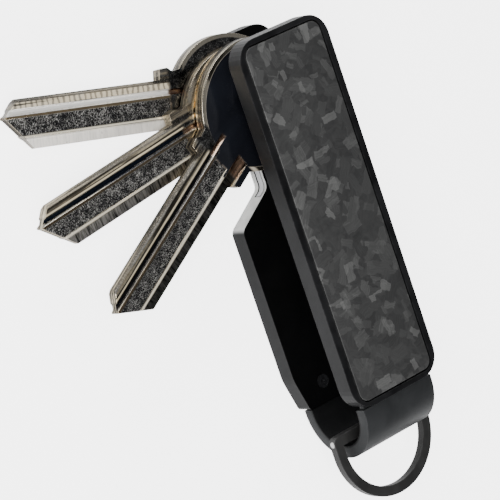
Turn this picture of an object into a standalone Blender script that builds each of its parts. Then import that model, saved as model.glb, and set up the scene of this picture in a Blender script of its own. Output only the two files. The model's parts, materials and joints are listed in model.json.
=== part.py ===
"""Pocket key organiser: two plates joined by a bow, with three keys fanned out on a pivot and a D-ring.

It lies flat on its rear plate. +Z points out of the front plate, +Y along the plates towards the
pivot, and the origin is at the centre of the rear plate's outer face. Everything is in metres.
"""

import math

import bmesh
import bpy
from mathutils import Matrix

MM = 0.001

# Plates
PLATE_WIDTH = 19.6 * MM
PLATE_LENGTH = 65.2 * MM
PLATE_THICKNESS = 3.3 * MM
PLATE_GAP = 11.3 * MM
PLATE_CORNER = 4.0 * MM
REAR_TAPER_START_Y = -26.5 * MM
REAR_TAPER_END_X = 8.4 * MM
REAR_TAPER_FILLET = 9.0 * MM
REAR_END_FILLET = 0.9 * MM
PLATE_EDGE = 0.45 * MM
CORNER_STEPS = 8

# Patterned inlay in the front plate, on its adhesive film
INLAY_WIDTH = 16.5 * MM
INLAY_LENGTH = 62.8 * MM
INLAY_CORNER = 1.7 * MM
INLAY_THICKNESS = 0.7 * MM
INLAY_GROOVE = 0.25 * MM
FILM_THICKNESS = 0.15 * MM
FILM_INSET = 0.4 * MM

# Thumb notch in the rear plate's -X edge; its sides are given by y at the plate's edge, then at the floor
NOTCH_FLOOR_X = -2.0 * MM
NOTCH_LOW_Y = (0.9 * MM, 5.9 * MM)
NOTCH_LOW_LIP = 1.8 * MM
NOTCH_HIGH_Y = (17.2 * MM, 12.2 * MM)
NOTCH_LIP = 1.2 * MM
NOTCH_FILLET = 1.6 * MM

# Steel insert that the pivot screw pulls on, in a slot in the rear plate
INSERT_THICKNESS = 1.2 * MM
INSERT_LOW = 1.3 * MM
INSERT_GAP = 0.25 * MM
INSERT_RIGHT_X = 6.5 * MM
INSERT_TOP_Y = 28.0 * MM
INSERT_FOOT_Y = 3.4 * MM

# Bow, the strap that is bent round the lower end
BOW_WIDTH = 15.9 * MM
BOW_RADIUS = 8.1 * MM
BOW_THICKNESS = 2.1 * MM
BOW_STEPS = 40
TONGUE_WIDTH = 14.4 * MM
TONGUE_LENGTH = 6.3 * MM
TONGUE_THICKNESS = 1.0 * MM
TONGUE_WALL = 0.65 * MM
BOW_SCREW_X = 4.0 * MM
BOW_SCREW_HEAD = 1.15 * MM
BOW_SCREW_SHANK = 0.7 * MM
BOW_SCREW_SOCKET = 0.5 * MM
BOW_SCREW_Y = -28.9 * MM

# Pivot
PIVOT_X = -1.6 * MM
PIVOT_Y = 23.0 * MM
POST_RADIUS = 2.5 * MM
POST_BORE = 1.65 * MM
POST_BORE_TOP = 12.6 * MM
POST_FLANGE_RADIUS = 4.0 * MM
POST_FLANGE_THICKNESS = 0.55 * MM
PIVOT_SHANK_RADIUS = 1.5 * MM
PIVOT_SHANK_TOP = 12.0 * MM
PIVOT_HEAD_RADIUS = 3.4 * MM
PIVOT_HEAD_THICKNESS = 1.0 * MM
PIVOT_SLOT = 0.8 * MM
SPACER_RADIUS = 5.5 * MM
ROUND_STEPS = 48

# KEY_RUN_OUT is how far a groove's end slopes back for each unit of depth.
# Keys: positions along the blade and across it are measured from the centre of the round head
KEY_THICKNESS = 2.0 * MM
KEY_PITCH = 2.3 * MM
KEY_HEAD_ALONG = 11.8 * MM
KEY_HEAD_ACROSS = 10.6 * MM
KEY_HEAD_DROP = 1.4 * MM
KEY_HOLE_RADIUS = 2.7 * MM
KEY_TIP = (45.0 * MM, -2.7 * MM)
KEY_BACK = -5.6 * MM
KEY_FRONT = 2.65 * MM
KEY_BACK_END = 42.3 * MM
KEY_FRONT_END = 40.0 * MM
KEY_HEAD_STEPS = 56
KEY_RUN_OUT = 4.0
KEY_GROOVE_STARTS = {
    "back_bevel": 14.4 * MM,
    "round_groove": 8.2 * MM,
    "wide_groove": 12.2 * MM,
    "front_flank": 9.0 * MM,
}

# name, direction of the blade in degrees from +X, and the head's centre seen from the pivot
KEYS = (
    ("key_1", 166.6, 2.85 * MM, 1.80 * MM),
    ("key_2", 187.1, 3.45 * MM, 3.00 * MM),
    ("key_3", 210.6, 2.70 * MM, 1.95 * MM),
)

# D-ring through the bow
RING_RADIUS = 10.6 * MM
RING_WIDTH = 1.8 * MM
RING_THICKNESS = 1.5 * MM
RING_BAR_Y = -37.9 * MM
RING_ARC_Y = -40.76 * MM
RING_CORNER = 1.2 * MM
RING_STEPS = 36

# Clearances between separate pieces
FIT = 0.15 * MM
LOOSE = 0.2 * MM
BEYOND = 1.0 * MM

REAR_INNER = PLATE_THICKNESS
FRONT_INNER = REAR_INNER + PLATE_GAP
FRONT_OUTER = FRONT_INNER + PLATE_THICKNESS
MIDDLE = FRONT_OUTER / 2
PLATE_END = -PLATE_LENGTH / 2
FILM_LOW = FRONT_OUTER - INLAY_THICKNESS - FIT - FILM_THICKNESS
RECESS_FLOOR = FILM_LOW - FIT
FIRST_KEY_LOW = REAR_INNER + 0.25 * MM

MATERIALS = {
    "black_anodised": ((0.025, 0.026, 0.028), 0.45, 0.6),
    "forged_carbon": ((0.055, 0.055, 0.056), 0.35, 0.0),
    "adhesive_film": ((0.25, 0.24, 0.22), 0.7, 0.0),
    "nickel_silver": ((0.62, 0.58, 0.50), 0.25, 1.0),
    "steel": ((0.50, 0.50, 0.51), 0.35, 1.0),
    "black_steel": ((0.03, 0.03, 0.032), 0.4, 0.8),
    "black_nylon": ((0.02, 0.02, 0.022), 0.55, 0.0),
}


def clear_scene():
    for item in list(bpy.data.objects):
        bpy.data.objects.remove(item)


def new_collection(name):
    collection = bpy.data.collections.new(name)
    bpy.context.scene.collection.children.link(collection)
    return collection


def new_material(name, settings):
    colour, roughness, metallic = settings
    material = bpy.data.materials.new(name)
    material.use_nodes = True
    material.diffuse_color = (*colour, 1.0)
    shader = material.node_tree.nodes["Principled BSDF"]
    shader.inputs["Base Color"].default_value = (*colour, 1.0)
    shader.inputs["Roughness"].default_value = roughness
    shader.inputs["Metallic"].default_value = metallic
    return material


def arc(centre, radius, start, end, steps):
    """Points from the angle start to the angle end, in degrees, both included."""
    angles = [math.radians(start + (end - start) * i / steps) for i in range(steps + 1)]
    return [(centre[0] + radius * math.cos(a), centre[1] + radius * math.sin(a)) for a in angles]


def circle(centre, radius, steps=ROUND_STEPS):
    return arc(centre, radius, 0, 360 - 360 / steps, steps - 1)


def unit(x, y):
    length = math.hypot(x, y)
    return x / length, y / length


def filleted(corners, steps=CORNER_STEPS):
    """A closed outline through corners of (x, y, fillet radius)."""
    points = []
    for i, (x, y, radius) in enumerate(corners):
        before = corners[i - 1]
        after = corners[(i + 1) % len(corners)]
        ax, ay = unit(before[0] - x, before[1] - y)
        bx, by = unit(after[0] - x, after[1] - y)
        half = math.acos(max(-1.0, min(1.0, ax * bx + ay * by))) / 2
        if radius == 0:
            points.append((x, y))
            continue
        reach = radius / math.tan(half)
        mx, my = unit(ax + bx, ay + by)
        centre = (x + mx * radius / math.sin(half), y + my * radius / math.sin(half))
        first = math.degrees(math.atan2(y + ay * reach - centre[1], x + ax * reach - centre[0]))
        last = math.degrees(math.atan2(y + by * reach - centre[1], x + bx * reach - centre[0]))
        turn = (last - first + 180) % 360 - 180
        points.extend(arc(centre, radius, first, first + turn, steps))
    return points


def grown(corners, distance):
    """The same corners, moved outwards by distance. The corners run anticlockwise."""
    result = []
    for i, (x, y, radius) in enumerate(corners):
        before = corners[i - 1]
        after = corners[(i + 1) % len(corners)]
        ax, ay = unit(x - before[0], y - before[1])
        bx, by = unit(after[0] - x, after[1] - y)
        mx, my = unit(ay + by, -ax - bx)
        stretch = distance / (mx * ay - my * ax)
        turn = ax * by - ay * bx
        new_radius = max(0.0, radius + math.copysign(distance, turn)) if radius else 0.0
        result.append((x + mx * stretch, y + my * stretch, new_radius))
    return result


def rectangle(width, length, radius):
    x, y = width / 2, length / 2
    return [(x, -y, radius), (x, y, radius), (-x, y, radius), (-x, -y, radius)]


def move_to(item, collection):
    for old in list(item.users_collection):
        old.objects.unlink(item)
    collection.objects.link(item)


def weld(mesh):
    shape = bmesh.new()
    shape.from_mesh(mesh)
    bmesh.ops.remove_doubles(shape, verts=shape.verts, dist=0.001 * MM)
    shape.to_mesh(mesh)
    shape.free()


def flat_solid(name, outlines, low, high):
    """A solid with flat faces at z = low and z = high; outlines inside the first one are holes."""
    curve = bpy.data.curves.new(name, "CURVE")
    curve.dimensions = "2D"
    curve.fill_mode = "BOTH"
    curve.extrude = (high - low) / 2
    for outline in outlines:
        spline = curve.splines.new("POLY")
        spline.points.add(len(outline) - 1)
        for point, (x, y) in zip(spline.points, outline):
            point.co = (x, y, 0, 1)
        spline.use_cyclic_u = True
    shape = bpy.data.objects.new(name + "_outline", curve)
    bpy.context.scene.collection.objects.link(shape)
    shape.location.z = (high + low) / 2
    bpy.context.view_layer.update()
    mesh = bpy.data.meshes.new_from_object(shape.evaluated_get(bpy.context.evaluated_depsgraph_get()))
    weld(mesh)
    solid = bpy.data.objects.new(name, mesh)
    solid.matrix_world = shape.matrix_world.copy()
    bpy.context.scene.collection.objects.link(solid)
    bpy.data.objects.remove(shape)
    return solid


def turned_solid(name, profile, x, y):
    """A round solid about the vertical line through x and y; the profile is (radius, z) points."""
    mesh = bpy.data.meshes.new(name)
    edges = [(i, i + 1) for i in range(len(profile) - 1)]
    mesh.from_pydata([(r, 0, z) for r, z in profile], edges, [])
    solid = bpy.data.objects.new(name, mesh)
    solid.location = (x, y, 0)
    bpy.context.scene.collection.objects.link(solid)
    screw = solid.modifiers.new("Turn", "SCREW")
    screw.steps = ROUND_STEPS
    screw.render_steps = ROUND_STEPS
    screw.use_merge_vertices = True
    screw.merge_threshold = 0.01 * MM
    return solid


def box(name, low, high):
    bpy.ops.mesh.primitive_cube_add(size=1)
    solid = bpy.context.object
    solid.name = name
    solid.dimensions = [b - a for a, b in zip(low, high)]
    solid.location = [(a + b) / 2 for a, b in zip(low, high)]
    bpy.ops.object.transform_apply(location=True, rotation=False, scale=True)
    return solid


def ring_profile(inner, outer, low, high):
    return [(inner, high), (outer, high), (outer, low), (inner, low), (inner, high)]


def soften(item, width, segments=2):
    bevel = item.modifiers.new("Edges", "BEVEL")
    bevel.width = width
    bevel.segments = segments
    bevel.limit_method = "ANGLE"
    bevel.angle_limit = math.radians(50)


class Model:
    """The organiser's pieces, in one collection, and their cutters in another."""

    def __init__(self):
        self.parts = new_collection("Key organiser")
        self.cutters = new_collection("Cutters")
        self.materials = {name: new_material(name, value) for name, value in MATERIALS.items()}

    def add(self, item, material):
        move_to(item, self.parts)
        item.data.materials.clear()
        item.data.materials.append(self.materials[material])
        return item

    def cut(self, item, *cutters):
        for cutter in cutters:
            move_to(cutter, self.cutters)
            cutter.hide_render = True
            cutter.display_type = "WIRE"
            boolean = item.modifiers.new("Cut " + cutter.name, "BOOLEAN")
            boolean.operation = "DIFFERENCE"
            boolean.solver = "EXACT"
            boolean.object = cutter


def tongue_levels(inner_face, sign):
    """Where a tongue of the bow lies in its plate: its face nearest the gap, then its other face."""
    near = inner_face + sign * TONGUE_WALL
    return near, near + sign * TONGUE_THICKNESS


def tongue_pocket(name, inner_face, sign):
    near, far = tongue_levels(inner_face, sign)
    low = min(near, far) - FIT
    high = max(near, far) + FIT
    side = TONGUE_WIDTH / 2 + LOOSE
    inside = PLATE_END - LOOSE + TONGUE_LENGTH + LOOSE
    return box(name, (-side, PLATE_END - BEYOND, low), (side, inside, high))


def bow_screw_profile(inner_face, sign, spare, reach):
    """Countersunk head in the plate's inner wall, shank in the tongue; spare makes it a cutter."""
    face = inner_face + sign * (0.05 * MM - spare)
    neck = inner_face + sign * (0.5 * MM + spare)
    tip = inner_face + sign * (reach + spare)
    head = BOW_SCREW_HEAD + spare
    shank = BOW_SCREW_SHANK + spare
    profile = [(0, face), (head, face), (shank, neck), (shank, tip), (0, tip)]
    return profile if sign < 0 else profile[::-1]


def bow_screw_places():
    return [(side, x) for side in ("front", "rear") for x in (-BOW_SCREW_X, BOW_SCREW_X)]


def face_of(side):
    return (FRONT_INNER, 1) if side == "front" else (REAR_INNER, -1)


def bow_screws(model):
    for number, (side, x) in enumerate(bow_screw_places(), start=1):
        inner_face, sign = face_of(side)
        reach = TONGUE_WALL + TONGUE_THICKNESS - 0.1 * MM
        profile = bow_screw_profile(inner_face, sign, 0, reach)
        screw = turned_solid(f"bow_screw_{number}", profile, x, BOW_SCREW_Y)
        hexagon = circle((x, BOW_SCREW_Y), BOW_SCREW_SOCKET, 6)
        ends = sorted((inner_face + sign * 0.4 * MM, inner_face - sign * BEYOND))
        model.cut(screw, flat_solid(f"screw_socket_{number}", [hexagon], *ends))
        model.add(screw, "black_steel")


def bow_screw_holes(side, spare):
    inner_face, sign = face_of(side)
    reach = TONGUE_WALL + TONGUE_THICKNESS
    profile = bow_screw_profile(inner_face, sign, spare, reach)
    places = [x for name, x in bow_screw_places() if name == side]
    return [turned_solid(f"{side}_screw_hole_{i}", profile, x, BOW_SCREW_Y) for i, x in enumerate(places)]


def front_plate(model):
    outline = filleted(rectangle(PLATE_WIDTH, PLATE_LENGTH, PLATE_CORNER))
    plate = flat_solid("front_plate", [outline], FRONT_INNER, FRONT_OUTER)
    soften(plate, PLATE_EDGE)
    recess = rectangle(INLAY_WIDTH, INLAY_LENGTH, INLAY_CORNER)
    recess = filleted(grown(recess, INLAY_GROOVE))
    hole = circle((PIVOT_X, PIVOT_Y), POST_RADIUS + FIT)
    seat = circle((PIVOT_X, PIVOT_Y), POST_FLANGE_RADIUS + LOOSE)
    seat_low = RECESS_FLOOR - POST_FLANGE_THICKNESS - 2 * FIT
    model.cut(
        plate,
        flat_solid("inlay_recess", [recess], RECESS_FLOOR, FRONT_OUTER + BEYOND),
        flat_solid("flange_seat", [seat], seat_low, RECESS_FLOOR + BEYOND / 2),
        flat_solid("post_hole", [hole], FRONT_INNER - BEYOND, RECESS_FLOOR),
        tongue_pocket("front_pocket", FRONT_INNER, 1),
        *bow_screw_holes("front", FIT),
    )
    model.add(plate, "black_anodised")


def inlay(model):
    sheet = filleted(rectangle(INLAY_WIDTH, INLAY_LENGTH, INLAY_CORNER))
    cover = flat_solid("front_inlay", [sheet], FRONT_OUTER - INLAY_THICKNESS, FRONT_OUTER)
    model.add(cover, "forged_carbon")
    film = filleted(grown(rectangle(INLAY_WIDTH, INLAY_LENGTH, INLAY_CORNER), -FILM_INSET))
    layer = flat_solid("adhesive_film", [film], FILM_LOW, FILM_LOW + FILM_THICKNESS)
    model.add(layer, "adhesive_film")


def rear_outline():
    x, y = PLATE_WIDTH / 2, PLATE_LENGTH / 2
    return [
        (REAR_TAPER_END_X, -y, REAR_END_FILLET),
        (x, REAR_TAPER_START_Y, REAR_TAPER_FILLET),
        (x, y, PLATE_CORNER),
        (-x, y, PLATE_CORNER),
        (-x, NOTCH_HIGH_Y[0], NOTCH_LIP),
        (NOTCH_FLOOR_X, NOTCH_HIGH_Y[1], NOTCH_FILLET),
        (NOTCH_FLOOR_X, NOTCH_LOW_Y[1], NOTCH_FILLET),
        (-x, NOTCH_LOW_Y[0], NOTCH_LOW_LIP),
        (-x, REAR_TAPER_START_Y, REAR_TAPER_FILLET),
        (-REAR_TAPER_END_X, -y, REAR_END_FILLET),
    ]


def on_notch_slope(levels, x):
    """The height y of the notch's slanted side at x; levels are its y at the edge and at the floor."""
    share = (x - NOTCH_FLOOR_X) / (-PLATE_WIDTH / 2 - NOTCH_FLOOR_X)
    return levels[0] * share + levels[1] * (1 - share)


def insert_outline():
    low_x, high_x = -3.4 * MM, -7.0 * MM
    return [
        (low_x + 1.0 * MM, INSERT_FOOT_Y, 0),
        (INSERT_RIGHT_X, INSERT_FOOT_Y, 2.0 * MM),
        (INSERT_RIGHT_X, INSERT_TOP_Y, 2.0 * MM),
        (high_x, INSERT_TOP_Y, 2.0 * MM),
        (high_x, on_notch_slope(NOTCH_HIGH_Y, high_x) + 0.05 * MM, 0),
        (NOTCH_FLOOR_X + 0.05 * MM, NOTCH_HIGH_Y[1] + 0.05 * MM, NOTCH_FILLET),
        (NOTCH_FLOOR_X + 0.05 * MM, NOTCH_LOW_Y[1] - 0.05 * MM, NOTCH_FILLET),
        (low_x, on_notch_slope(NOTCH_LOW_Y, low_x) - 0.05 * MM, 0),
    ]


def rear_plate(model):
    plate = flat_solid("rear_plate", [filleted(rear_outline())], 0, REAR_INNER)
    soften(plate, PLATE_EDGE)
    slot = filleted(grown(insert_outline(), FIT))
    insert_high = INSERT_LOW + INSERT_THICKNESS
    shank = circle((PIVOT_X, PIVOT_Y), PIVOT_SHANK_RADIUS + LOOSE)
    head = circle((PIVOT_X, PIVOT_Y), PIVOT_HEAD_RADIUS + LOOSE)
    model.cut(
        plate,
        flat_solid("insert_slot", [slot], INSERT_LOW - INSERT_GAP, insert_high + INSERT_GAP),
        flat_solid("shank_hole", [shank], INSERT_LOW, REAR_INNER + BEYOND),
        flat_solid("head_seat", [head], -BEYOND, INSERT_LOW),
        tongue_pocket("rear_pocket", REAR_INNER, -1),
        *bow_screw_holes("rear", FIT),
    )
    model.add(plate, "black_anodised")


def pivot_insert(model):
    hole = circle((PIVOT_X, PIVOT_Y), PIVOT_SHANK_RADIUS + LOOSE)
    outlines = [filleted(insert_outline()), hole]
    insert = flat_solid("pivot_insert", outlines, INSERT_LOW, INSERT_LOW + INSERT_THICKNESS)
    model.add(insert, "steel")


def bow_outline():
    """The bow seen along X, as (y, z) points: round the outside, then back round the inside."""
    shoulder = PLATE_END - LOOSE
    centre = (PLATE_END - 0.86 * MM, MIDDLE)
    tongue_end = shoulder + TONGUE_LENGTH
    front_near, front_far = tongue_levels(FRONT_INNER, 1)
    rear_near, rear_far = tongue_levels(REAR_INNER, -1)
    inside = BOW_RADIUS - BOW_THICKNESS
    return [
        (tongue_end, front_far),
        (shoulder, front_far),
        (shoulder, MIDDLE + BOW_RADIUS),
        *arc(centre, BOW_RADIUS, 90, 270, BOW_STEPS),
        (shoulder, MIDDLE - BOW_RADIUS),
        (shoulder, rear_far),
        (tongue_end, rear_far),
        (tongue_end, rear_near),
        (shoulder, rear_near),
        (shoulder, MIDDLE - inside),
        *arc(centre, inside, 270, 90, BOW_STEPS),
        (shoulder, MIDDLE + inside),
        (shoulder, front_near),
        (tongue_end, front_near),
    ]


def tongue_trim(name, side):
    """Takes the bow down to the width of its tongues, from the plates' ends inwards."""
    near, far = sorted((side * TONGUE_WIDTH / 2, side * (BOW_WIDTH / 2 + BEYOND)))
    start = PLATE_END - LOOSE
    return box(name, (near, start, 0), (far, start + TONGUE_LENGTH + BEYOND, FRONT_OUTER))


def bow(model):
    strap = flat_solid("bow_strap", [bow_outline()], -BOW_WIDTH / 2, BOW_WIDTH / 2)
    turned = Matrix(((0, 0, 1, 0), (1, 0, 0, 0), (0, 1, 0, 0), (0, 0, 0, 1)))
    strap.data.transform(turned)
    model.cut(
        strap,
        tongue_trim("tongue_trim_left", -1),
        tongue_trim("tongue_trim_right", 1),
        *bow_screw_holes("front", FIT),
        *bow_screw_holes("rear", FIT),
    )
    model.add(strap, "black_anodised")


def pivot(model):
    flange_high = RECESS_FLOOR - FIT
    flange_low = flange_high - POST_FLANGE_THICKNESS
    foot = REAR_INNER + FIT
    post_profile = [
        (0, flange_high),
        (POST_FLANGE_RADIUS, flange_high),
        (POST_FLANGE_RADIUS, flange_low),
        (POST_RADIUS, flange_low),
        (POST_RADIUS, foot),
        (POST_BORE, foot),
        (POST_BORE, POST_BORE_TOP),
        (0, POST_BORE_TOP),
    ]
    model.add(turned_solid("pivot_post", post_profile, PIVOT_X, PIVOT_Y), "steel")
    head_low = INSERT_LOW - LOOSE - PIVOT_HEAD_THICKNESS
    head_high = head_low + PIVOT_HEAD_THICKNESS
    screw_profile = [
        (0, PIVOT_SHANK_TOP),
        (PIVOT_SHANK_RADIUS, PIVOT_SHANK_TOP),
        (PIVOT_SHANK_RADIUS, head_high),
        (PIVOT_HEAD_RADIUS, head_high),
        (PIVOT_HEAD_RADIUS, head_low),
        (0, head_low),
    ]
    screw = turned_solid("pivot_screw", screw_profile, PIVOT_X, PIVOT_Y)
    reach = PIVOT_HEAD_RADIUS + BEYOND
    low = (PIVOT_X - reach, PIVOT_Y - PIVOT_SLOT / 2, head_low - BEYOND)
    high = (PIVOT_X + reach, PIVOT_Y + PIVOT_SLOT / 2, head_low + PIVOT_HEAD_THICKNESS / 2)
    model.cut(screw, box("screw_slot", low, high))
    model.add(screw, "steel")


def spacers(model):
    """The stack that fills the post between the uppermost key and the front plate."""
    level = FIRST_KEY_LOW + 2 * KEY_PITCH + KEY_THICKNESS + LOOSE
    stack = (
        ("key_washer", 4.5 * MM, 0.45 * MM, "steel"),
        ("spacer_1", SPACER_RADIUS, 1.5 * MM, "black_nylon"),
        ("spacer_2", SPACER_RADIUS, 1.5 * MM, "black_nylon"),
    )
    for name, radius, thickness, material in stack:
        profile = ring_profile(POST_RADIUS + FIT, radius, level, level + thickness)
        model.add(turned_solid(name, profile, PIVOT_X, PIVOT_Y), material)
        level += thickness + LOOSE


def key_outline(head):
    """The key's outline with the pivot at the origin and the blade along +X."""
    x, y = head
    neck = [
        (11.5 * MM, -6.8 * MM),
        (12.4 * MM, -7.5 * MM),
        (14.0 * MM, -7.3 * MM),
        (14.2 * MM, KEY_BACK),
        (KEY_BACK_END, KEY_BACK),
        KEY_TIP,
        (KEY_FRONT_END, KEY_FRONT),
        (14.7 * MM, KEY_FRONT),
        (14.0 * MM, 3.3 * MM),
        (13.3 * MM, 4.4 * MM),
    ]
    oval_head = [
        (KEY_HEAD_ALONG * u, KEY_HEAD_ACROSS * v - KEY_HEAD_DROP)
        for u, v in arc((0, 0), 1, 33, 328, KEY_HEAD_STEPS)
    ]
    return [(x + u, y + v) for u, v in oval_head + neck]


def groove_cutter(name, section, head, start, sign):
    """A milling cut along the blade that ramps up at its start; the section is (across, up) points."""
    cutter = flat_solid(name, [section], head[0] + start, head[0] + KEY_TIP[0] + BEYOND)
    along_x = Matrix(((0, 0, 1, 0), (1, 0, 0, head[1]), (0, 1, 0, 0), (0, 0, 0, 1)))
    cutter.matrix_world = Matrix.Identity(4)
    middle = head[0] + (start + KEY_TIP[0] + BEYOND) / 2
    cutter.data.transform(Matrix.Translation((0, 0, middle)))
    cutter.data.transform(along_x)
    surface = KEY_THICKNESS / 2
    for vertex in cutter.data.vertices:
        if vertex.co.x < middle:
            vertex.co.x += KEY_RUN_OUT * (surface - sign * vertex.co.z)
    return cutter


def groove_sections():
    """The milled shape of one face, as sections above the key's middle plane."""
    top = KEY_THICKNESS / 2
    over = top + BEYOND
    edge = 0.5 * MM
    return {
        "back_bevel": [
            (KEY_BACK - edge, over),
            (KEY_BACK - edge, top - 0.6 * MM),
            (KEY_BACK, top - 0.55 * MM),
            (-5.1 * MM, top),
            (-5.1 * MM, over),
        ],
        "round_groove": [
            (-3.95 * MM, over),
            (-3.95 * MM, top),
            (-3.7 * MM, top - 0.4 * MM),
            (-3.2 * MM, top - 0.45 * MM),
            (-2.9 * MM, top),
            (-2.9 * MM, over),
        ],
        "wide_groove": [
            (-2.45 * MM, over),
            (-2.45 * MM, top - 0.3 * MM),
            (0.4 * MM, top - 0.3 * MM),
            (0.4 * MM, over),
        ],
        "front_flank": [
            (0.8 * MM, over),
            (0.8 * MM, top),
            (1.1 * MM, top - 0.4 * MM),
            (KEY_FRONT + edge, top - 0.55 * MM),
            (KEY_FRONT + edge, over),
        ],
    }


def key_blank(model, name, direction, head, level):
    outlines = [key_outline(head), circle((0, 0), KEY_HOLE_RADIUS)]
    key = flat_solid(name, outlines, -KEY_THICKNESS / 2, KEY_THICKNESS / 2)
    place = Matrix.Translation((PIVOT_X, PIVOT_Y, level + KEY_THICKNESS / 2))
    place = place @ Matrix.Rotation(math.radians(direction), 4, "Z")
    key.matrix_world = place
    for title, section in groove_sections().items():
        start = KEY_GROOVE_STARTS[title]
        for face, sign in (("top", 1), ("under", -1)):
            shape = [(v, sign * z) for v, z in section]
            cutter = groove_cutter(f"{name}_{title}_{face}", shape, head, start, sign)
            cutter.matrix_world = place
            model.cut(key, cutter)
    model.add(key, "nickel_silver")


def keys(model):
    for number, (name, direction, head_x, head_y) in enumerate(KEYS):
        level = FIRST_KEY_LOW + number * KEY_PITCH
        key_blank(model, name, direction, (head_x, head_y), level)


def d_ring(model):
    """The ring is drawn round the middle of its bar, which is the axis it turns about."""
    bar_half = RING_WIDTH / 2
    inner = RING_RADIUS - RING_WIDTH
    corner_x = RING_RADIUS - RING_CORNER
    corner_y = bar_half - RING_CORNER
    centre = (0, RING_ARC_Y - RING_BAR_Y)
    outside = [
        *arc((corner_x, corner_y), RING_CORNER, 0, 90, 5),
        *arc((-corner_x, corner_y), RING_CORNER, 90, 180, 5),
        *arc(centre, RING_RADIUS, 180, 360, RING_STEPS),
    ]
    inside = [
        (inner, -bar_half),
        (-inner, -bar_half),
        *arc(centre, inner, 180, 360, RING_STEPS),
    ]
    ring = flat_solid("d_ring", [outside, inside], -RING_THICKNESS / 2, RING_THICKNESS / 2)
    soften(ring, 0.3 * MM)
    ring.location = (0, RING_BAR_Y, MIDDLE)
    model.add(ring, "black_steel")


def shade_smooth(model):
    for item in model.parts.objects:
        item.data.shade_smooth()
        item.data.set_sharp_from_angle(angle=math.radians(30))


def main():
    clear_scene()
    model = Model()
    front_plate(model)
    inlay(model)
    rear_plate(model)
    pivot_insert(model)
    bow(model)
    bow_screws(model)
    pivot(model)
    spacers(model)
    keys(model)
    d_ring(model)
    shade_smooth(model)


main()
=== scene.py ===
"""Finishes, floor, light and camera for the pocket key organiser, laid out as a Blender add-on."""

import functools
import json
import math

import bmesh
import bpy
from bpy.props import FloatProperty, FloatVectorProperty, PointerProperty
from mathutils import Matrix, Vector


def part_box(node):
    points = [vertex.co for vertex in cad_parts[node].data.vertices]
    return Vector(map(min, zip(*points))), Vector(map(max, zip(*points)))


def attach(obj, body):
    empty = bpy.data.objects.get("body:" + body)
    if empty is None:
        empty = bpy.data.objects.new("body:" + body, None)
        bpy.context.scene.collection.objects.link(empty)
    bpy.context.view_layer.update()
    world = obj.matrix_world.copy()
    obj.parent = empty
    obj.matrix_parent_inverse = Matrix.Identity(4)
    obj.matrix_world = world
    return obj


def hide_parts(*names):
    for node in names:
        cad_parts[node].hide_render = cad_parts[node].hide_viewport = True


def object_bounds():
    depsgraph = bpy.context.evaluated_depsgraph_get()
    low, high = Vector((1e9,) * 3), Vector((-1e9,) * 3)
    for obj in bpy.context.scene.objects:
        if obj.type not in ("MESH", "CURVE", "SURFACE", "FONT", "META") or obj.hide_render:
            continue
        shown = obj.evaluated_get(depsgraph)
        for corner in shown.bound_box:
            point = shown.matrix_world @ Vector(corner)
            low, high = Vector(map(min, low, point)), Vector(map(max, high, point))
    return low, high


bl_info = {
    "name": "Pocket key organiser",
    "version": (1, 0, 0),
    "blender": (4, 5, 0),
    "location": "View3D > Sidebar > Key organiser",
    "description": "Gives the packed key organiser its finishes, its edges and a studio",
    "category": "Object",
}

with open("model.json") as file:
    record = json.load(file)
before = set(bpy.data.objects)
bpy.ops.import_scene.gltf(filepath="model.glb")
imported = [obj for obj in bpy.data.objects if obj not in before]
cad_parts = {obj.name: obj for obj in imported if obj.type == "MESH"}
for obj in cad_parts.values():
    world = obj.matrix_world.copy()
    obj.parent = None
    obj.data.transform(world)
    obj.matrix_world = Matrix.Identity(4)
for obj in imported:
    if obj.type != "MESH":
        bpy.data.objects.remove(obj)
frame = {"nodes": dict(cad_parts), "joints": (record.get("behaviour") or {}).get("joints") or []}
CAD_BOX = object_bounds()

MM = 0.001
KEY_BODIES = {"key_1": "first_key", "key_2": "second_key", "key_3": "third_key"}
PIVOT = Vector(next(j["pos_m"] for j in frame["joints"] if j["name"] == "key_1_swing"))
DARK_CHIP_LAYERS = 7
LIGHT_CHIP_LAYERS = 5
CAMERA_PLACE = (-0.28867, 0.08979, 0.39663)
CAMERA_TURN = (3.0205, -36.6624, -23.3449)
CAMERA_LENS = 208.8
CAMERA_SENSOR = 36.0


# Shader node helpers


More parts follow.
